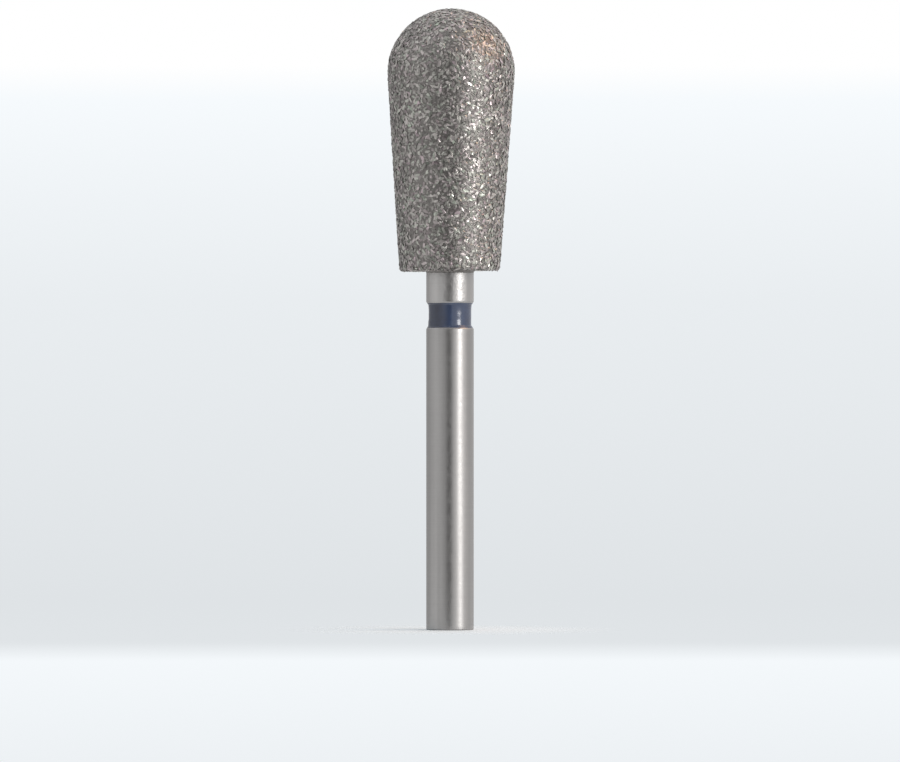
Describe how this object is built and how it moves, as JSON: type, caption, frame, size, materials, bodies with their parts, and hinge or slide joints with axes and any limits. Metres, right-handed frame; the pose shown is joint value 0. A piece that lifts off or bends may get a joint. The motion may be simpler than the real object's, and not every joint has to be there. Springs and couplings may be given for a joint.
{
  "type": "diamond bur",
  "caption": "Round-ended tapered diamond bur on a straight cylindrical steel shank, with a grit-coated head and a dark blue grit-size band in a groove below it.",
  "frame": {"origin": "centre of the flat end of the shank", "axes": "+Z along the bur's axis, from the end of the shank to the dome of the head; the bur is a body of revolution, so X and Y are free"},
  "size_m": [0.0062, 0.0062, 0.0307],
  "materials": {
    "steel": "turned and ground stainless steel, satin",
    "grit": "grey-brown diamond grains half sunk in a plated metal bond, rough and sparkling",
    "lacquer": "dark blue glossy lacquer"
  },
  "bodies": {
    "root": {"steel_blank": "steel", "diamond_coating": "grit", "colour_ring": "lacquer"}
  },
  "joints": []
}
